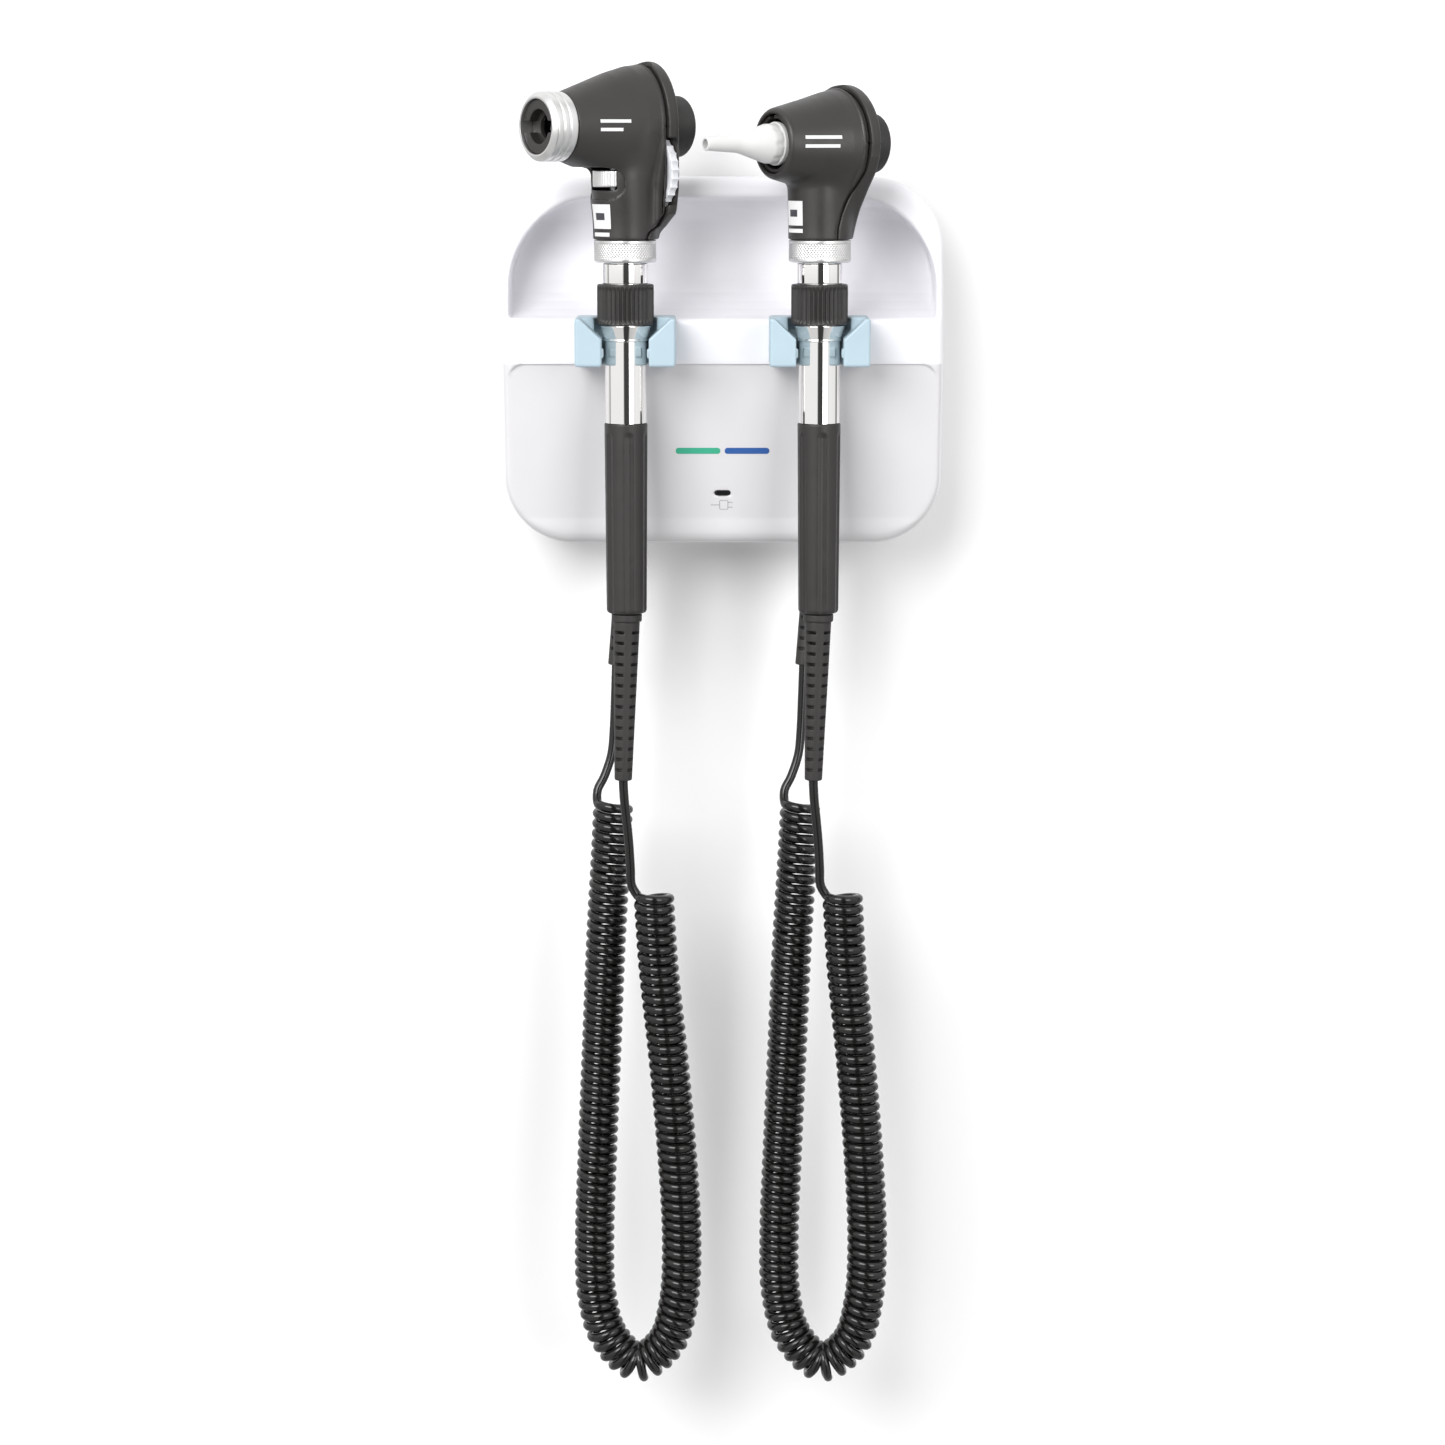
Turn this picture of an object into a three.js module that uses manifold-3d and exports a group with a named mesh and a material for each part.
// Wall-mounted diagnostic station: an otoscope and an ophthalmoscope, each on a corded handle that
// hangs in a cradle of one mains-powered wall unit.
// Millimetres, +Z up. The wall is the plane y = 0, the room is at -Y, and the origin is the middle of
// the unit's back face. The left instrument is the ophthalmoscope and the right one the otoscope.
import * as THREE from "three";
import { mergeVertices } from "three/addons/utils/BufferGeometryUtils.js";
import Module from "manifold-3d";

const wasm = await Module();
wasm.setup();

// ---------------------------------------------------------------- driving dimensions
const GAP = 0.3; // between pieces that touch
const SLIVER = 0.02; // faces thinner than this are merged after a cut

// Wall unit
const UNIT = { width: 208, height: 173, corner: 33, wall: 3 };
const PLATE = { depth: 4, inset: 3 };
const FACE = { top: -46, band: -62, bottom: -47 }; // y of the front face at its heights
const BAND = { top: 21, bottom: 0 }; // the shelf band that carries the cradles
const SCOOP = { border: 3.6, top: 77.5, back: -22, corner: 42 };
const PANEL = { border: 3, inset: 1.2, bottom: -74 };
const BOSS = { x: 84, z: 52, radius: 4.2, bore: 1.7 };
const KEYHOLE = { x: 62, z: 34, head: 5, slot: 2.7, rise: 11 };

// Handles
const HANDLE_X = 45;
const HANDLE_Y = -80;
const NECK = { radius: 10.5, top: 56.5, bottom: 38.5 };
const DIMMER = { radius: 13.2, top: 38.2, bottom: 19.4, ribs: 22 };
const CONE = { top: 19.1, bottom: 12.4, wide: 12.2, narrow: 10 };
const TUBE = { radius: 9.7, bottom: -26 };
const GRIP = { top: -26.3, bottom: -115.4, wide: 10.1, narrow: 9.4, flutes: 6 };
const RELIEF = { collar: 7.2, wide: 6.2, narrow: 4.1, top: -115.7, bottom: -195.2, slots: 14, pitch: 5.05 };

// Cradles
const CRADLE = { half: 24, front: -94, top: 23, bottom: 0.5, throat: 11, flare: 12.9 };

// Heads: x is towards the nose, z stays the height, and the handle's axis is at x = 0
const HEAD_BASE = 58.8;
const COLLAR = { radius: 14.4, top: HEAD_BASE - GAP, bottom: 48.2 };
const SEAM = -9.7; // where the front casing meets the rear cover
const LOFT_SIDES = 20;
const OTO = {
  turn: 213, axis: 102.5, nose: 26.8, noseRadius: 16, backRadius: 25.8, backHalf: 25.8, back: -16.5,
  coneSquash: 0, neck: 14.6, shoulder: 88.5, hold: 14, eyepiece: 13.7, eyepieceBack: -31,
};
const OPH = {
  turn: 217, axis: 110.2, nose: 36, noseRadius: 15.6, backRadius: 28.4, backHalf: 20.8, back: -16.2,
  coneSquash: 0.31, neck: 14.85, shoulder: 76, hold: 0, eyepiece: 14.2, eyepieceBack: -31,
};

// Cords
const CORD = { radius: 2, coil: 9.2, sides: 8 };
const COIL_CENTRE = CORD.coil - CORD.radius; // radius of the helix that the cord's centreline follows

// ---------------------------------------------------------------- materials
const finish = (color, roughness, metalness = 0, extra = {}) =>
  new THREE.MeshStandardMaterial({ color, roughness, metalness, ...extra });
const WHITE_SHELL = finish(0xe9e9ee, 0.35);
const GREY_SHELL = finish(0xc9c9cc, 0.6);
const BLUE_CRADLE = finish(0xaed0e6, 0.45);
const BLACK_SHELL = finish(0x2c2b2b, 0.5);
const BLACK_GRIP = finish(0x262524, 0.45);
const RUBBER = finish(0x1f1e1e, 0.75);
const CORD_SKIN = finish(0x232222, 0.3);
const CHROME = finish(0xd8d6d2, 0.12, 1);
const SATIN = finish(0xcfcfcc, 0.35, 1);
const BRASS = finish(0xb59a55, 0.3, 1);
const STEEL = finish(0x9a9a9c, 0.4, 1);
const COPPER = finish(0xa8673a, 0.4, 1);
const BOARD = finish(0x2d5a3a, 0.6);
const GLASS = finish(0xdfe8ec, 0.05, 0, { transparent: true, opacity: 0.35 });
const FROSTED = finish(0xe3e4e2, 0.5, 0, { transparent: true, opacity: 0.8 });
const WHITE_WHEEL = finish(0xd6d8dc, 0.5);
const DARK_LENS = finish(0x1b1b1d, 0.2);

// ---------------------------------------------------------------- solids and cuts
function toSolid(geometry) {
  const bare = geometry.index ? geometry.toNonIndexed() : geometry.clone();
  bare.deleteAttribute("normal");
  bare.deleteAttribute("uv");
  const merged = mergeVertices(bare, 1e-4);
  return new wasm.Manifold(
    new wasm.Mesh({
      numProp: 3,
      vertProperties: merged.attributes.position.array,
      triVerts: new Uint32Array(merged.index.array),
    }),
  );
}

function toGeometry(solid) {
  const mesh = solid.asOriginal().simplify(SLIVER).getMesh();
  const geometry = new THREE.BufferGeometry();
  geometry.setAttribute("position", new THREE.BufferAttribute(new Float32Array(mesh.vertProperties), 3));
  geometry.setIndex(new THREE.BufferAttribute(new Uint32Array(mesh.triVerts), 1));
  geometry.computeVertexNormals();
  return geometry;
}

const cut = (body, ...tools) =>
  toGeometry(tools.reduce((left, tool) => left.subtract(toSolid(tool)), toSolid(body)));

// The same, with any loose sliver that a cut leaves behind thrown away.
function cutClean(body, ...tools) {
  const pieces = toSolid(cut(body, ...tools)).decompose();
  return toGeometry(pieces.reduce((best, piece) => (piece.volume() > best.volume() ? piece : best)));
}

const join = (...bodies) => toGeometry(bodies.map(toSolid).reduce((all, one) => all.add(one)));
const common = (a, b) => toGeometry(toSolid(a).intersect(toSolid(b)));

// A box given by its lowest and highest corners.
function box(x0, x1, y0, y1, z0, z1) {
  const geometry = new THREE.BoxGeometry(x1 - x0, y1 - y0, z1 - z0);
  return geometry.translate((x0 + x1) / 2, (y0 + y1) / 2, (z0 + z1) / 2);
}

// A piece turned about the z axis. The profile runs up the outside as [radius, z] pairs and either starts
// and ends on the axis or, with closed set, goes round a ring.
function turned(profile, segments = 20, closed = false) {
  const points = profile.map(([r, z]) => new THREE.Vector2(r, z));
  if (closed) points.push(points[0].clone());
  return new THREE.LatheGeometry(points, segments).rotateX(Math.PI / 2);
}

// The same, for a solid of revolution whose ends are flat discs.
const rod = (profile, segments) =>
  turned([[0, profile[0][1]], ...profile, [0, profile.at(-1)[1]]], segments);

// A ring of rectangular section.
const ring = (inner, outer, z0, z1, segments) =>
  turned([[inner, z0], [outer, z0], [outer, z1], [inner, z1]], segments, true);

// Turns a piece made about z so that it lies along x, with its z = 0 plane at x and its axis at height z.
const alongX = (geometry, x = 0, z = 0) => geometry.rotateY(Math.PI / 2).translate(x, 0, z);

// A solid through a list of rings that all hold the same number of points, with its ends closed.
function loft(rings) {
  const count = rings[0].length;
  const positions = rings.flat().flatMap((p) => [p.x, p.y, p.z]);
  const middle = (points) =>
    points.reduce((sum, p) => sum.add(p), new THREE.Vector3()).divideScalar(points.length);
  const first = middle(rings[0]);
  const last = middle(rings.at(-1));
  positions.push(first.x, first.y, first.z, last.x, last.y, last.z);
  const firstIndex = rings.length * count;
  const index = [];
  for (let i = 0; i < count; i++) {
    const next = (i + 1) % count;
    index.push(firstIndex, next, i);
    const top = (rings.length - 1) * count;
    index.push(firstIndex + 1, top + i, top + next);
    for (let k = 0; k < rings.length - 1; k++) {
      const a = k * count;
      const b = a + count;
      index.push(a + i, a + next, b + next, a + i, b + next, b + i);
    }
  }
  const geometry = new THREE.BufferGeometry();
  geometry.setAttribute("position", new THREE.Float32BufferAttribute(positions, 3));
  geometry.setIndex(index);
  return geometry;
}

// A flat outline in the x-z plane, given from y0 to y1.
function slab(shape, y0, y1, curveSegments = 8) {
  const geometry = new THREE.ExtrudeGeometry(shape, { depth: y1 - y0, bevelEnabled: false, curveSegments });
  return geometry.rotateX(Math.PI / 2).translate(0, y1, 0);
}

// A side outline of [y, z] pairs, extended from x0 to x1.
function sideways(outline, x0, x1) {
  const shape = new THREE.Shape(outline.map(([y, z]) => new THREE.Vector2(y, z)));
  const geometry = new THREE.ExtrudeGeometry(shape, { depth: x1 - x0, bevelEnabled: false });
  // the outline's (y, z) plane is drawn in (x, y), so x, y, z become y, z, x
  geometry.applyMatrix4(new THREE.Matrix4().set(0, 0, 1, x0, 1, 0, 0, 0, 0, 1, 0, 0, 0, 0, 0, 1));
  return geometry;
}

function roundedRectangle(x0, x1, z0, z1, radius) {
  const shape = new THREE.Shape();
  shape.moveTo(x0 + radius, z0);
  shape.lineTo(x1 - radius, z0);
  shape.absarc(x1 - radius, z0 + radius, radius, -Math.PI / 2, 0);
  shape.lineTo(x1, z1 - radius);
  shape.absarc(x1 - radius, z1 - radius, radius, 0, Math.PI / 2);
  shape.lineTo(x0 + radius, z1);
  shape.absarc(x0 + radius, z1 - radius, radius, Math.PI / 2, Math.PI);
  shape.lineTo(x0, z0 + radius);
  shape.absarc(x0 + radius, z0 + radius, radius, Math.PI, Math.PI * 1.5);
  return shape;
}

// A tube of a given radius along a curve through the points.
function tube(points, radius, steps, sides = CORD.sides) {
  const path = new THREE.CatmullRomCurve3(points.map((p) => new THREE.Vector3(...p)));
  const circle = new THREE.Shape();
  circle.absarc(0, 0, radius, 0, 2 * Math.PI);
  return new THREE.ExtrudeGeometry(circle, { extrudePath: path, steps, curveSegments: sides / 2 });
}

function part(name, geometry, material) {
  const mesh = new THREE.Mesh(geometry, material);
  mesh.name = name;
  return mesh;
}

// ---------------------------------------------------------------- wall unit
// The outer block: a rounded outline whose face leans back above and below the band.
function unitBlock(shrink, back) {
  const half = UNIT.width / 2 - shrink;
  const tall = UNIT.height / 2 - shrink;
  const outline = roundedRectangle(-half, half, -tall, tall, UNIT.corner - shrink);
  const side = [
    [back, -tall - 1],
    [FACE.bottom + shrink, -tall - 1],
    [FACE.band + shrink, BAND.bottom],
    [FACE.band + shrink, BAND.top],
    [FACE.top + shrink, tall + 1],
    [back, tall + 1],
  ];
  return common(slab(outline, FACE.band - 5, back, 5), sideways(side, -half - 1, half + 1));
}

// The scoop above the band, as the space it takes, grown by a margin to give the wall behind it.
function scoopSpace(margin) {
  const half = UNIT.width / 2 - SCOOP.border + margin;
  const top = SCOOP.top + margin;
  const outline = roundedRectangle(-half, half, BAND.top - 40, top, SCOOP.corner);
  const side = [
    [FACE.band - 10, BAND.top - margin],
    [FACE.band + margin, BAND.top - margin],
    [-42, BAND.top + 4 - margin],
    [-30 + margin, BAND.top + 11 - margin],
    [SCOOP.back + margin, BAND.top + 23],
    [SCOOP.back + margin, 62],
    [-28 + margin, 72],
    [-40, top],
    [FACE.band - 10, top + 2],
  ];
  return common(slab(outline, FACE.band - 12, 0, 5), sideways(side, -half, half));
}

function panelSpace() {
  const half = UNIT.width / 2 - PANEL.border;
  const side = [
    [FACE.band - 8, BAND.bottom],
    [FACE.band + PANEL.inset, BAND.bottom],
    [FACE.bottom - 1.6, PANEL.bottom],
    [FACE.band - 8, PANEL.bottom],
  ];
  return sideways(side, -half, half);
}

const cradlePocket = (side, clearance) =>
  box(
    side * HANDLE_X - 15 - clearance, side * HANDLE_X + 15 + clearance,
    FACE.band - 1, FACE.band + 9, 4 - clearance, 18 + clearance,
  );

const INLET = { half: 15, depth: 26, y: -21, rim: 0.4 };

function frontHousing() {
  const outer = toSolid(unitBlock(0, -PLATE.depth - GAP));
  let inner = toSolid(unitBlock(UNIT.wall, -1)).subtract(toSolid(scoopSpace(UNIT.wall)));
  for (const x of [-BOSS.x, BOSS.x])
    for (const z of [-BOSS.z, BOSS.z]) {
      const post = ring(0.01, BOSS.radius, 0, 60, 12).rotateX(Math.PI / 2).translate(x, 0, z);
      inner = inner.subtract(toSolid(post));
    }
  let shell = outer.subtract(toSolid(scoopSpace(0))).subtract(toSolid(panelSpace())).subtract(inner);
  for (const side of [-1, 1]) {
    shell = shell.subtract(toSolid(cradlePocket(side, GAP)));
    const reliefHole = rod([[8.3, -95], [8.3, -80]], 16);
    shell = shell.subtract(toSolid(reliefHole.translate(side * HANDLE_X + WALL_RELIEF.dx, WALL_RELIEF.y, 0)));
  }
  for (const x of [-BOSS.x, BOSS.x])
    for (const z of [-BOSS.z, BOSS.z]) {
      const bore = rod([[BOSS.bore, -1], [BOSS.bore, 15.5]], 8).rotateX(Math.PI / 2).translate(x, 0, z);
      shell = shell.subtract(toSolid(bore));
    }
  const lightHole = toSolid(slab(pill(LIGHT.half + GAP, LIGHT.tall + GAP, LIGHT.z), -70, -40));
  const inletHole = toSolid(box(-INLET.half - GAP, INLET.half + GAP, INLET.y - 10.3, INLET.y + 10.3, -95, -75));
  return toGeometry(shell.subtract(lightHole).subtract(inletHole));
}

function pill(half, tall, z) {
  return roundedRectangle(-half, half, z - tall, z + tall, tall * 0.98);
}

const LIGHT = { half: 3.4, tall: 1.1, z: -63.5 };

function statusLight() {
  const outline = pill(LIGHT.half, LIGHT.tall, LIGHT.z);
  const side = [[-53.2, -70], [-51.6, -57], [-44, -57], [-44, -70]];
  return common(slab(outline, -60, -44), sideways(side, -5, 5));
}

function backPlate() {
  const half = UNIT.width / 2 - PLATE.inset;
  const tall = UNIT.height / 2 - PLATE.inset;
  const outline = roundedRectangle(-half, half, -tall, tall, UNIT.corner - PLATE.inset);
  let plate = toSolid(slab(outline, -PLATE.depth, 0, 5));
  const through = (geometry, x, z) => toSolid(geometry.rotateX(Math.PI / 2).translate(x, 1, z));
  for (const x of [-BOSS.x, BOSS.x])
    for (const z of [-BOSS.z, BOSS.z]) {
      plate = plate.subtract(through(rod([[2.4, 0], [2.4, 8]], 10), x, z));
      plate = plate.subtract(through(rod([[4.4, 0], [4.4, 3.5]], 10), x, z));
    }
  for (const x of [-KEYHOLE.x, KEYHOLE.x]) {
    plate = plate.subtract(through(rod([[KEYHOLE.head, 0], [KEYHOLE.head, 8]], 16), x, KEYHOLE.z));
    const slot = box(
      x - KEYHOLE.slot, x + KEYHOLE.slot, -PLATE.depth - 1, 1, KEYHOLE.z, KEYHOLE.z + KEYHOLE.rise,
    );
    plate = plate.subtract(toSolid(slot));
  }
  return toGeometry(plate);
}

// A pan-head screw that goes into its boss from behind, its head below the plate's back face.
function housingScrew(x, z) {
  const profile = [[1.5, -14.5], [1.5, -2.2], [3.9, -2.2], [3.9, -0.6]];
  const screw = rod(profile, 10).rotateX(-Math.PI / 2);
  return screw.translate(x, 0, z);
}

function cradle(side) {
  const x = side * HANDLE_X;
  const { half, front, top, bottom, throat, flare } = CRADLE;
  const back = FACE.band - GAP;
  const outline = new THREE.Shape();
  outline.moveTo(x - half, bottom);
  outline.lineTo(x + half, bottom);
  outline.lineTo(x + half, top - 2);
  outline.lineTo(x + half - 3, top);
  outline.lineTo(x - half + 3, top);
  outline.lineTo(x - half, top - 2);
  let body = toSolid(slab(outline, front, back));
  const chamfer = [
    [x - 21, top + 0.1], [x - throat, 13.6], [x - throat, bottom - 1], [x + throat, bottom - 1],
    [x + throat, 13.6], [x + 21, top + 0.1],
  ];
  const mouth = new THREE.Shape(chamfer.map(([px, pz]) => new THREE.Vector2(px, pz)));
  body = body.subtract(toSolid(slab(mouth, front - 1, HANDLE_Y)));
  const seat = rod([[throat, bottom - 1], [throat, 13.2], [flare, 18.4], [14, 18.6], [14, top + 1]], 24);
  body = body.subtract(toSolid(seat.translate(x, HANDLE_Y, 0)));
  const plug = box(x - 15, x + 15, back - 1, FACE.band + 8, 4, 18);
  return toGeometry(body.add(toSolid(plug)));
}

function circuitBoard() {
  let board = toSolid(box(-34, 34, -41, -39.4, -80, -50));
  for (const [x0, x1, z0, z1, height] of [[-28, -16, -76, -66, 5], [-10, -4, -76, -60, 3], [14, 28, -74, -58, 4.5]])
    board = board.add(toSolid(box(x0, x1, -39.5, -39.4 + height, z0, z1)));
  const emitter = box(-2.4, 2.4, -43.2, -40.9, LIGHT.z - 1.5, LIGHT.z + 1.5);
  return toGeometry(board.add(toSolid(emitter)));
}

const TRANSFORMER = { x: 0, z: -22, halfWidth: 27, halfTall: 22, front: -40, back: -8 };

function transformerCore() {
  const { x, z, halfWidth, halfTall, front, back } = TRANSFORMER;
  const stack = box(x - halfWidth, x + halfWidth, front, back, z - halfTall, z + halfTall);
  const windows = [-1, 1].map((s) =>
    box(x + s * 15 - 5, x + s * 15 + 5, front - 1, back + 1, z - 13, z + 13),
  );
  return cut(stack, ...windows);
}

// The winding wraps the core's middle limb, with a flange each side of the stack.
function transformerWinding() {
  const { x, z, front, back } = TRANSFORMER;
  const outside = box(x - 19.6, x + 19.6, front - 7, back + 3.4, z - 12.6, z + 12.6);
  const limb = box(x - 10.3, x + 10.3, front - GAP, back + GAP, z - 20, z + 20);
  const yokes = [-1, 1].map((s) =>
    box(x + s * 20 - GAP - 0.1, x + s * 20 + 8, front - GAP, back + GAP, z - 20, z + 20),
  );
  return cut(outside, limb, ...yokes);
}

function powerInlet() {
  const { half, depth, y, rim } = INLET;
  const bottom = -UNIT.height / 2 - 0.5;
  const flange = box(-half, half, y - 10, y + 10, bottom, bottom + depth);
  const lip = box(-half - 2.5, half + 2.5, y - 12, y + 12, bottom - rim, bottom + 0.2);
  const cavity = box(-12.2, 12.2, y - 8, y + 8, bottom - 3, bottom + 18);
  let body = toSolid(flange).add(toSolid(lip)).subtract(toSolid(cavity));
  for (const [x, dy] of [[-7, -2], [7, -2], [0, 2]])
    body = body.add(toSolid(box(x - 1, x + 1, y + dy - 2.2, y + dy + 2.2, bottom + 6, bottom + 19)));
  return toGeometry(body);
}

// ---------------------------------------------------------------- cords
// Places of the cord, given from the handle's axis: x to the right, y and z in the part's frame.
const WALL_RELIEF = { dx: 1, y: -40, top: -84, length: 62, lean: [-7, -4] };
const WALL_LEAD = [
  [-6.2, -44.4, -148.6], [-6.6, -45, -160], [-7.2, -46, -175], [-8.4, -47.6, -188], [-12, -49.5, -199],
  [-16, -51.6, -207.2],
];
const COIL = [
  [-7.6, -53, -211.5], [-8.8, -54, -235], [-11.2, -55.5, -275], [-13.6, -57.5, -330], [-16, -60, -385],
  [-17.4, -62, -425], [-16.6, -64, -452], [-10.5, -66, -474], [3.6, -68, -486.5], [17.5, -69.5, -476],
  [23.6, -71, -455], [25.2, -72, -425], [23.4, -73.5, -385], [18.8, -74.8, -330], [13.4, -75.6, -287],
  [10.4, -76, -260], [7.6, -76.4, -248.4],
];
const HANDLE_LEAD = [
  [-2, -80, -195.8], [-1.8, -80, -204], [-0.6, -79.8, -218], [0.4, -79.4, -230], [0.6, -78.6, -240],
  [-0.2, -77.6, -248.6],
];

const beside = (side, points) => points.map(([x, y, z]) => [side * HANDLE_X + x, y, z]);

// A strain relief: a collar, then a taper with rows of slots that let it bend.
function strainRelief(length, rows, wide, narrow) {
  const collar = RELIEF.collar;
  const profile = [[narrow, -length], [narrow + 0.3, -length + 1], [wide, -4], [collar, -3], [collar, 0]];
  let body = toSolid(rod(profile, 14));
  for (let row = 0; row < rows; row++) {
    const z = -9.5 - row * RELIEF.pitch * 2;
    for (const angle of [0, 90])
      for (const side of [-1, 1]) {
        const slot = box(2.6, 9, -2.2, 2.2, z - 0.7, z + 0.7).rotateZ(((angle + 45) * Math.PI) / 180);
        if (side < 0) slot.rotateZ(Math.PI);
        body = body.subtract(toSolid(slot));
      }
  }
  return toGeometry(body);
}

// Hangs a piece that points down from its top, leaning so that its end is off to the side by the lean.
function hang(piece, top, [leanX, leanY], length) {
  piece.position.set(...top);
  piece.quaternion.setFromUnitVectors(
    new THREE.Vector3(0, 0, -1), new THREE.Vector3(leanX, leanY, -length).normalize(),
  );
  return piece;
}

function wallRelief(side) {
  const { dx, y, top, length, lean } = WALL_RELIEF;
  const piece = part(
    `${side < 0 ? "left" : "right"}_wall_relief`, strainRelief(length, 3, 6, RELIEF.narrow), RUBBER,
  );
  return hang(piece, [side * HANDLE_X + dx, y, top], lean, length);
}

function cordParts(side) {
  const label = side < 0 ? "left" : "right";
  return [
    wallRelief(side),
    part(`${label}_wall_lead`, tube(beside(side, WALL_LEAD), CORD.radius, 10), CORD_SKIN),
    part(`${label}_coil`, tube(beside(side, COIL), CORD.coil, 36, 10), CORD_SKIN),
    part(`${label}_handle_lead`, tube(beside(side, HANDLE_LEAD), CORD.radius, 10), CORD_SKIN),
  ];
}

// ---------------------------------------------------------------- handles
// The bright tube: neck with bayonet lugs, seat for the dimmer ring, cone, and the bore down its middle.
function handleTube() {
  const profile = [
    [6.5, TUBE.bottom], [TUBE.radius, TUBE.bottom], [TUBE.radius, CONE.bottom - 0.6],
    [CONE.narrow + 0.3, CONE.bottom], [CONE.wide, CONE.top], [9.2, CONE.top], [9.2, DIMMER.top + GAP],
    [NECK.radius, DIMMER.top + GAP], [NECK.radius, 47.6], [9.3, 47.8], [9.3, NECK.top], [6.5, NECK.top],
  ];
  const lugs = [0, 90, 180, 270].map((angle) =>
    box(8.6, 10.6, -1.8, 1.8, 53.4, 55.6).rotateZ((angle * Math.PI) / 180),
  );
  const tail = ring(6.5, 7.8, TUBE.bottom - 20, TUBE.bottom + 0.5, 24);
  return join(turned(profile, 24, true), tail, ...lugs);
}

// The grip slips over the tube's tail, and its bottom end holds the strain relief's collar.
function gripSleeve() {
  const { top, bottom, wide, narrow, flutes } = GRIP;
  const body = rod(
    [[narrow - 1.6, bottom], [narrow, bottom + 2.2], [narrow + 0.1, bottom + 20], [wide, top - 4], [wide, top]],
    24,
  );
  const bore = rod([[8.1, top - 21], [8.1, top + 1]], 24);
  const core = rod([[4.2, bottom + 3], [4.2, top - 20]], 12);
  const tools = [bore, core];
  for (let i = 0; i < flutes; i++) {
    const groove = box(wide - 0.75, wide + 1, -0.9, 0.9, bottom + 1, top - 6);
    tools.push(groove.rotateZ(((i * 360) / flutes) * (Math.PI / 180)));
  }
  const socket = rod([[4.2, bottom - 1], [4.2, bottom + 4]], 12);
  return cut(body, ...tools, socket);
}

function dimmerRing() {
  const { radius, top, bottom, ribs } = DIMMER;
  const outline = new THREE.Shape();
  for (let i = 0; i < ribs; i++) {
    const angle = (i * 2 * Math.PI) / ribs;
    const quarter = Math.PI / ribs / 2;
    for (const [offset, r] of [[-1, radius], [1, radius], [1.5, radius - 0.6], [2.5, radius - 0.6]]) {
      const a = angle + offset * quarter;
      const [x, y] = [r * Math.cos(a), r * Math.sin(a)];
      if (outline.curves.length || outline.currentPoint.length()) outline.lineTo(x, y);
      else outline.moveTo(x, y);
    }
  }
  const hole = new THREE.Path();
  hole.absarc(0, 0, 9.5, 0, 2 * Math.PI, true);
  outline.holes.push(hole);
  const geometry = new THREE.ExtrudeGeometry(outline, { depth: top - bottom, bevelEnabled: false, curveSegments: 10 });
  return geometry.translate(0, 0, bottom);
}

// The insulator in the tube's mouth with the contact pin that feeds the head's lamp.
const contactPlug = () =>
  rod([[6.2, 44], [6.2, 54], [1.6, 54], [1.6, 57], [1, 57.6]], 14);

function handleParts(side) {
  const label = side < 0 ? "ophthalmoscope" : "otoscope";
  const length = RELIEF.top - RELIEF.bottom;
  const relief = part(
    `${label}_strain_relief`, strainRelief(length, 4, RELIEF.wide, RELIEF.narrow), RUBBER,
  );
  const group = new THREE.Group();
  group.position.set(side * HANDLE_X, HANDLE_Y, 0);
  group.add(
    part(`${label}_handle_tube`, handleTube(), CHROME),
    part(`${label}_grip`, gripSleeve(), BLACK_GRIP),
    part(`${label}_dimmer_ring`, dimmerRing(), BLACK_GRIP),
    part(`${label}_contact_plug`, contactPlug(), BRASS),
    hang(relief, [0, 0, RELIEF.top], [-2, 0], length),
  );
  return group;
}

// ---------------------------------------------------------------- heads
// The solid that both casings are cut from: an upright body that grows from the round neck into a
// drop-shaped back, joined with the cone of the nose. Its surface is moved in by the inset.
function headBody(head, inset) {
  const { axis, nose, noseRadius, backRadius, backHalf, back, neck, shoulder, hold } = head;
  const top = axis + backRadius - inset;
  const rings = [];
  const levels = [0, 0.1, 0.24, 0.38, 0.52, 0.66, 0.8, 0.91, 0.98];
  const base = HEAD_BASE + (inset ? -1 : 0);
  for (const level of levels) {
    const z = base + (top - base) * level;
    const rise = Math.min(1, Math.max(0, (z - HEAD_BASE) / (shoulder - HEAD_BASE)));
    const eased = rise * rise * (3 - 2 * rise);
    const above = (z - axis) / (backRadius - inset);
    const taper = (level) => Math.sqrt(Math.max(0.001, 1 - level ** 2));
    const full = (backHalf - inset) * taper(Math.max(above, -hold / backRadius));
    const half = neck - inset + (full - neck + inset) * eased;
    const frontReach = (neck - inset) * taper(Math.max(above, 0));
    const backReach = -(neck - inset) + (back + inset + neck - inset) * eased;
    const widest = -8 * eased;
    const points = [];
    for (let i = 0; i < LOFT_SIDES; i++) {
      const a = (i * 2 * Math.PI) / LOFT_SIDES;
      const forward = Math.cos(a);
      const power = forward < 0 ? 1 - 0.45 * eased : 1;
      const reach = forward > 0 ? frontReach - widest : widest - backReach;
      const x = widest + reach * Math.sign(forward) * Math.abs(forward) ** power;
      const y = half * Math.sign(Math.sin(a)) * Math.abs(Math.sin(a)) ** power;
      points.push(new THREE.Vector3(x, y, z));
    }
    rings.push(points);
  }
  const r0 = noseRadius - inset;
  const r1 = backRadius - inset - 0.4;
  const cone = rod(
    [[r1, back + 5 + inset], [r1, SEAM], [r0 + (r1 - r0) * 0.62, nose * 0.3], [r0, nose - 1.5], [r0 - 1.2, nose]],
    24,
  );
  return join(loft(rings), narrowed(alongX(cone), head).translate(0, 0, axis));
}

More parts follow.
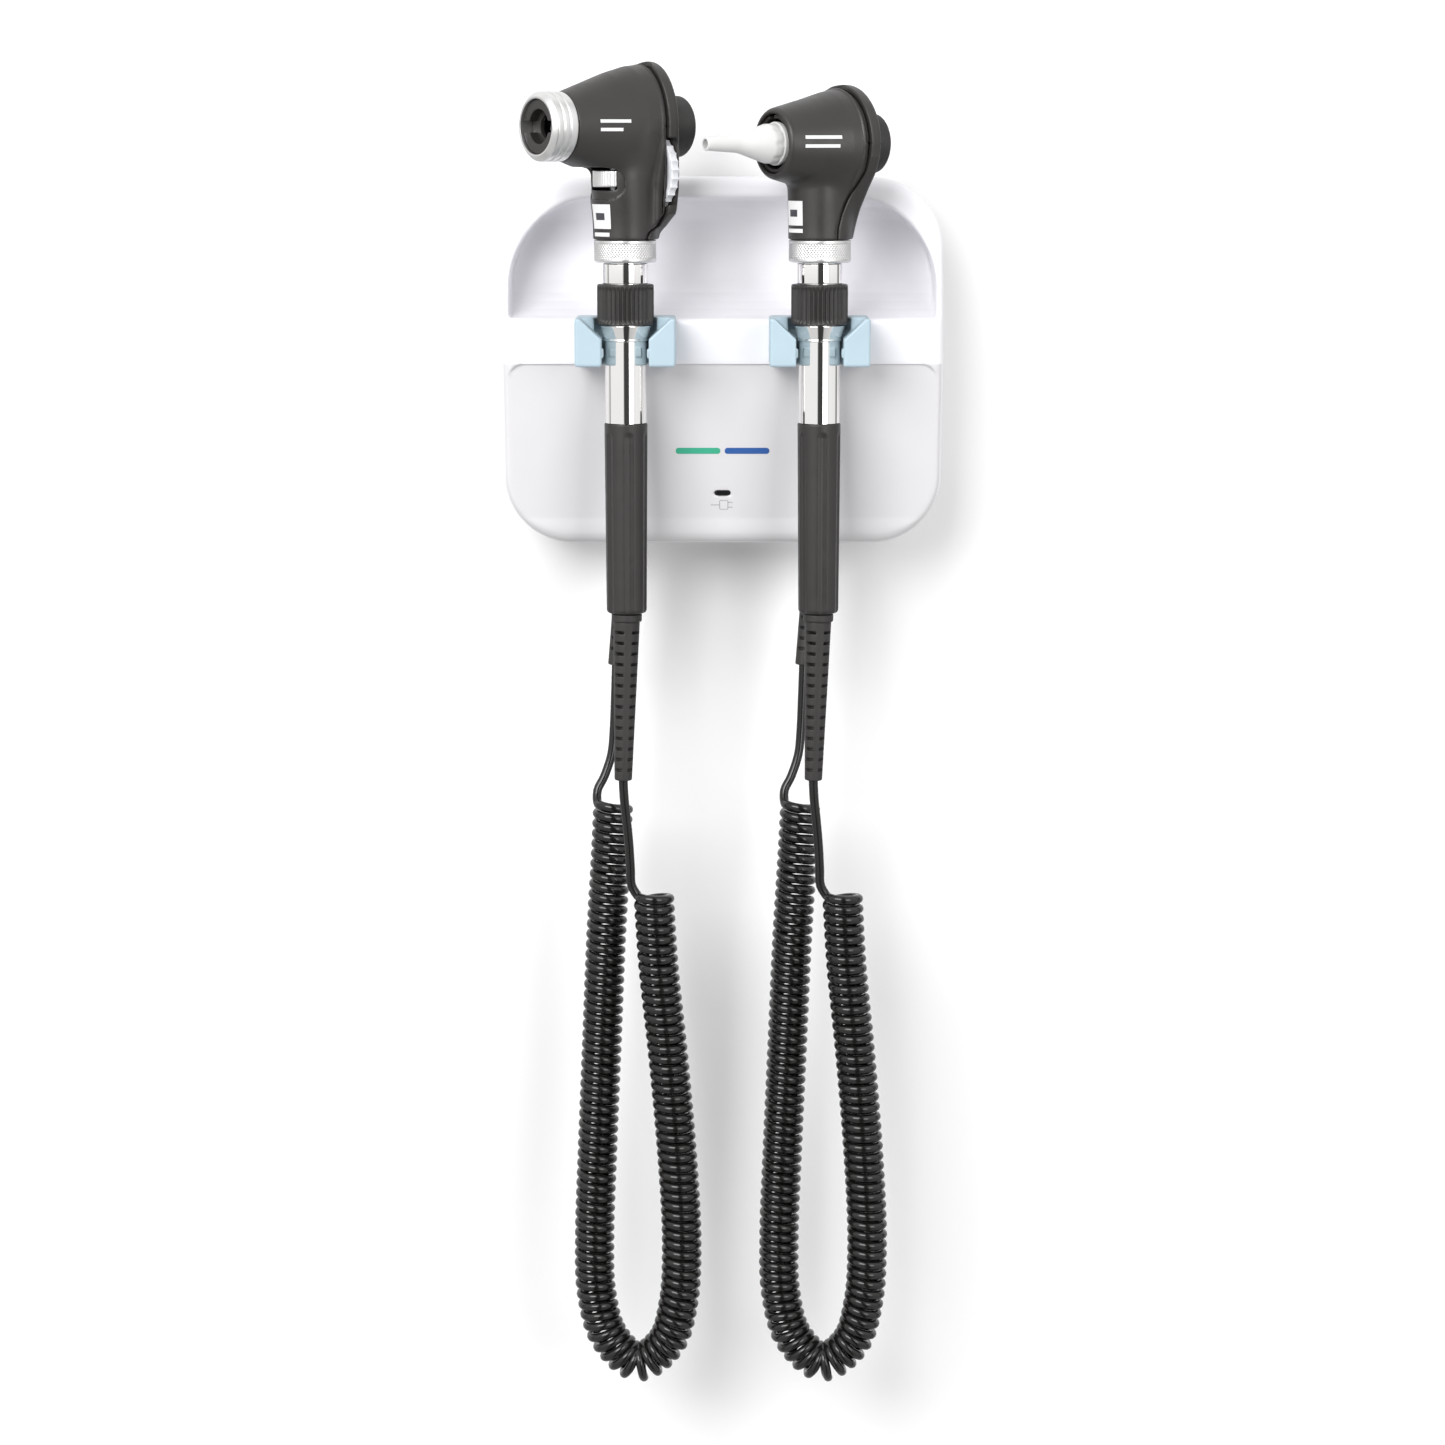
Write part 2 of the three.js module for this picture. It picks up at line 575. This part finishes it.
// The cone of the nose is round in front and, towards the back, nearly as narrow as the back is.
function narrowed(cone, { nose, coneSquash }) {
  const points = cone.attributes.position;
  for (let i = 0; i < points.count; i++) {
    const backward = Math.min(1, Math.max(0, (nose - points.getX(i)) / (nose - SEAM)));
    points.setY(i, points.getY(i) * (1 - coneSquash * backward));
  }
  return cone;
}

const ahead = (x) => box(x, 90, -60, 60, 0, 200);
const behind = (x) => box(-90, x, -60, 60, 0, 200);

function frontCasing(head, openings) {
  const inner = common(headBody(head, 2), ahead(SEAM - 1));
  const shell = common(headBody(head, 0), ahead(SEAM + GAP / 2));
  const lampBore = rod([[8.2, HEAD_BASE - 2], [8.2, HEAD_BASE + 6]], 20);
  return cutClean(shell, inner, lampBore, ...openings);
}

function rearCover(head, wheel, openings) {
  const grown = {
    ...head, backRadius: head.backRadius + 1, backHalf: head.backHalf + 1, neck: head.neck + 0.2,
  };
  const shell = common(headBody(grown, 0), behind(SEAM - GAP / 2));
  const inner = common(headBody(head, 2.2), behind(SEAM + 1));
  const sight = alongX(rod([[8.6, -10], [8.6, 40]], 20), -35, head.axis);
  const cover = cutClean(shell, inner, sight, ...openings);
  const pegEnd = wheel.x + wheel.depth + 0.4;
  const pegStart = head.back + 1;
  const peg = alongX(rod([[wheel.spindle, 0], [wheel.spindle, pegEnd - pegStart]], 10), pegStart, wheel.z);
  return join(cover, peg.translate(0, wheel.y, 0));
}

function headCollar() {
  const { radius, top, bottom } = COLLAR;
  const profile = [
    [9.9, 56.9], [8.2, 56.9], [8.2, top], [radius - 0.5, top], [radius, top - 0.6], [radius, bottom + 0.6],
    [radius - 0.5, bottom], [10.9, bottom], [10.9, 56.9],
  ].reverse();
  return turned(profile, 24, true);
}

const eyepiece = (head) => {
  const r = head.eyepiece;
  const start = head.back - 1;
  return alongX(
    turned(
      [
        [7.8, head.eyepieceBack + 1.5], [r - 4, head.eyepieceBack], [r - 0.8, head.eyepieceBack],
        [r, head.eyepieceBack + 1.5], [r - 1, start - 2], [r - 1.5, start], [7.8, start],
      ],
      24, true,
    ), 0, head.axis,
  );
};

const lensDisc = (radius, x, z, bulge) =>
  alongX(rod([[radius, 0], [radius, 1.4], [radius * 0.6, 1.4 + bulge]], 16), x, z);

const lamp = () =>
  rod([[1.6, 58.6], [3.4, 59.4], [3.4, 67], [2.2, 67.4], [2.2, 72.4], [1, 74]], 12);

// A short sleeve with a lens in it slides along the sight line when the focus wheel turns.
const lensSleeve = (head, x0, x1) =>
  alongX(ring(7.6, 9.2, 0, x1 - x0, 20), x0, head.axis);

// A thumb wheel with a scalloped rim.
function scallopedWheel(radius, depth, scallops, hole) {
  const outline = new THREE.Shape();
  const count = scallops * 2;
  for (let i = 0; i < count; i++) {
    const r = i % 2 ? radius - 0.8 : radius;
    const a = (i * 2 * Math.PI) / count;
    if (i) outline.lineTo(r * Math.cos(a), r * Math.sin(a));
    else outline.moveTo(r, 0);
  }
  outline.closePath();
  const bore = new THREE.Path();
  bore.absarc(0, 0, hole, 0, 2 * Math.PI, true);
  outline.holes.push(bore);
  return new THREE.ExtrudeGeometry(outline, { depth, bevelEnabled: false, curveSegments: 8 });
}

function headGroup(side, head) {
  const group = new THREE.Group();
  group.position.set(side * HANDLE_X, HANDLE_Y, 0);
  group.rotation.z = (head.turn * Math.PI) / 180;
  return group;
}

// The focus wheel of each head turns on a spindle parallel to the sight line.
const OTO_WHEEL = { radius: 15, depth: 3.6, x: -9.2, y: -10.5, z: 80.5, spindle: 2 };
const OPH_WHEEL = { radius: 17.5, depth: 4, x: -13.9, y: 6.5, z: 89.5, spindle: 2 };

const wheelSpace = (wheel, x0, x1) =>
  alongX(rod([[wheel.radius + 0.7, 0], [wheel.radius + 0.7, x1 - x0]], 20), x0, wheel.z).translate(0, wheel.y, 0);

function focusWheel(name, wheel, material) {
  const geometry = alongX(scallopedWheel(wheel.radius, wheel.depth, 18, wheel.spindle + 0.2));
  const piece = part(name, geometry, material);
  piece.position.set(wheel.x, wheel.y, wheel.z);
  return piece;
}

const SPECULUM = { tip: 63, waist: 44, flare: 30.5, base: 23.5 };

function speculum() {
  const { tip, waist, flare, base } = SPECULUM;
  const outside = [[9.9, base], [9.9, base + 2], [9.4, base + 2.2], [9.2, flare - 1], [7.6, flare + 3], [4.5, waist], [3, tip - 0.4], [2.7, tip]];
  const inside = [[2.2, tip], [3.7, waist], [6.8, flare + 3], [8.4, flare - 1], [8.6, base]];
  return alongX(turned([...outside, ...inside], 20, true), 0, OTO.axis);
}

// The fixed cone that the speculum slips over carries the light guide.
const speculaCone = () =>
  alongX(
    turned(
      [[9.9, 8], [9.9, 12], [8.1, 12.6], [8.1, 29], [6.4, 33.2], [3.3, 43.5], [2, 57], [1.3, 57], [2.6, 43.5], [5.6, 33], [7.2, 28.6], [7.2, 8]],
      20, true,
    ), 0, OTO.axis,
  );

function tipGrip() {
  const body = alongX(ring(10.4, 13.2, 14.2, 25.6, 24), 0, OTO.axis);
  const notches = [0, 120, 240].map((angle) =>
    alongX(box(10.2, 14, -2, 2, 22, 27).rotateZ(((angle + 20) * Math.PI) / 180), 0, OTO.axis),
  );
  return cut(body, ...notches);
}

// The insufflation port on the flank away from the focus wheel.
const PORT = { x: 4, y: -15, z: 112, hole: 2.8 };

function insufflationPort() {
  const profile = [[0.9, 0], [2.4, 0], [2.4, 7], [1.8, 7.4], [1.8, 9.5], [2.4, 10], [1.7, 12], [0.9, 12]];
  const geometry = turned(profile, 10, true).rotateX(Math.PI / 2);
  return geometry.translate(PORT.x, PORT.y, PORT.z);
}

const GUIDE_ROUTE = [[0, 0, 74.6], [0.2, 0, 80], [1.6, 0, 86], [4.2, 0, 90.6], [6.9, 0, 93.6]];

function otoscopeHead() {
  const group = headGroup(1, OTO);
  const noseBore = alongX(rod([[13.6, 12], [13.6, 40]], 24), 0, OTO.axis);
  const wheelSlot = wheelSpace(OTO_WHEEL, SEAM - 2, -4.8);
  const portHole = rod([[PORT.hole, 10], [PORT.hole, 30]], 10).rotateX(Math.PI / 2);
  portHole.translate(PORT.x, 0, PORT.z);
  const coverRelief = wheelSpace(OTO_WHEEL, SEAM - 2, SEAM + 2);
  group.add(
    part("otoscope_front_casing", frontCasing(OTO, [noseBore, wheelSlot, portHole]), BLACK_SHELL),
    part("otoscope_rear_cover", rearCover(OTO, OTO_WHEEL, [coverRelief]), BLACK_SHELL),
    part("otoscope_head_collar", headCollar(), SATIN),
    part("otoscope_eyepiece", eyepiece(OTO), RUBBER),
    part("otoscope_eyepiece_lens", lensDisc(7.4, -21, OTO.axis, 0.8), GLASS),
    part("otoscope_specula_cone", speculaCone(), DARK_LENS),
    part("otoscope_light_guide", tube(GUIDE_ROUTE, 1.2, 6, 8), GLASS),
    part("otoscope_lamp", lamp(), BRASS),
    part("otoscope_lens_sleeve", lensSleeve(OTO, -6, 1), BLACK_GRIP),
    part("otoscope_focus_lens", lensDisc(7.2, -4, OTO.axis, 1), GLASS),
    focusWheel("otoscope_focus_wheel", OTO_WHEEL, BLACK_GRIP),
    part("otoscope_tip_grip", tipGrip(), BLACK_GRIP),
    part("otoscope_speculum", speculum(), FROSTED),
    part("otoscope_insufflation_port", insufflationPort(), STEEL),
  );
  return group;
}

// The metal ring on the front of the nose, its profile measured from the end of the casing.
function frontRing() {
  const profile = [
    [12.6, 0.3], [15.6, 0.3], [15.8, 1.2], [15.8, 4.2], [15.1, 4.8], [15.1, 7.4], [15.8, 8], [15.8, 12],
    [13.4, 13.6], [12.6, 13.2],
  ];
  return alongX(turned(profile, 24, true), OPH.nose, OPH.axis);
}

const EYECUP = { radius: 12.3, sight: 7.8, hole: 5.5, back: 5, floor: 7.2, front: 12, slot: 2.6 };


function eyecupSocket() {
  const { radius, sight, hole, back, floor, front, slot } = EYECUP;
  const disc = rod([[radius, floor - 0.2], [radius, front]], 28);
  const opening = rod([[sight, 0], [sight, front + 9]], 24);
  const notch = box(-slot, slot, -20, 20, 0, front + 9);
  const solid = toSolid(disc).subtract(toSolid(opening)).subtract(toSolid(notch));
  const whole = toGeometry(solid.add(toSolid(ring(hole, radius, back, floor, 28))));
  return alongX(whole, OPH.nose, OPH.axis);
}

const DIAL = { radius: 10, half: 3.85, x: 6, z: 86.6 };

function apertureDial() {
  const rim = scallopedWheel(DIAL.radius, DIAL.half * 2, 20, 2.2).translate(0, 0, -DIAL.half);
  return rim.translate(DIAL.x, 0, DIAL.z);
}

function ophthalmoscopeHead() {
  const group = headGroup(-1, OPH);
  const noseBore = alongX(rod([[12.9, -9], [12.9, 20]], 24), OPH.nose, OPH.axis);
  const dialWindow = join(
    box(8, 20, -9.8, 9.8, DIAL.z - 5.4, DIAL.z + 5.4),
    rod([[DIAL.radius + 0.4, -DIAL.half - 0.4], [DIAL.radius + 0.4, DIAL.half + 0.4]], 24).translate(DIAL.x, 0, DIAL.z),
  );
  const wheelSlot = wheelSpace(OPH_WHEEL, OPH_WHEEL.x - GAP, SEAM + 2);
  const mirror = box(-0.6, 0.6, -6, 6, -8, 8).rotateY(Math.PI / 4).translate(3, 0, OPH.axis);
  const spindle = rod([[1.9, 78.6], [1.9, 94.4]], 12).translate(DIAL.x, 0, 0);
  group.add(
    part("ophthalmoscope_front_casing", frontCasing(OPH, [noseBore, dialWindow]), BLACK_SHELL),
    part("ophthalmoscope_rear_cover", rearCover(OPH, OPH_WHEEL, [wheelSlot]), BLACK_SHELL),
    part("ophthalmoscope_head_collar", headCollar(), SATIN),
    part("ophthalmoscope_front_ring", frontRing(), SATIN),
    part("ophthalmoscope_eyecup_socket", eyecupSocket(), BLACK_SHELL),
    part("ophthalmoscope_objective_lens", lensDisc(9.4, OPH.nose - 2.5, OPH.axis, 1.6), GLASS),
    part("ophthalmoscope_brow_rest", eyepiece(OPH), RUBBER),
    part("ophthalmoscope_eyepiece_lens", lensDisc(7.4, -21, OPH.axis, 0.8), GLASS),
    part("ophthalmoscope_lens_sleeve", lensSleeve(OPH, 14, 24), BLACK_GRIP),
    part("ophthalmoscope_focus_lens", lensDisc(7.2, 18, OPH.axis, 1), GLASS),
    part("ophthalmoscope_mirror", mirror, STEEL),
    part("ophthalmoscope_lamp", lamp(), BRASS),
    focusWheel("ophthalmoscope_focus_wheel", OPH_WHEEL, WHITE_WHEEL),
    part("ophthalmoscope_aperture_dial", apertureDial(), SATIN),
    part("ophthalmoscope_dial_spindle", spindle, STEEL),
  );
  return group;
}

// ---------------------------------------------------------------- assembly
const station = new THREE.Group();
station.add(
  part("back_plate", backPlate(), GREY_SHELL),
  part("front_housing", frontHousing(), WHITE_SHELL),
  part("left_cradle", cradle(-1), BLUE_CRADLE),
  part("right_cradle", cradle(1), BLUE_CRADLE),
  part("status_light", statusLight(), DARK_LENS),
  part("circuit_board", circuitBoard(), BOARD),
  part("transformer_core", transformerCore(), STEEL),
  part("transformer_winding", transformerWinding(), COPPER),
  part("power_inlet", powerInlet(), BLACK_SHELL),
);
[[-1, -1], [1, -1], [-1, 1], [1, 1]].forEach(([sx, sz], i) =>
  station.add(part(`housing_screw_${i + 1}`, housingScrew(sx * BOSS.x, sz * BOSS.z), STEEL)),
);
for (const side of [-1, 1]) station.add(...cordParts(side), handleParts(side));
station.add(otoscopeHead(), ophthalmoscopeHead());

export default station;
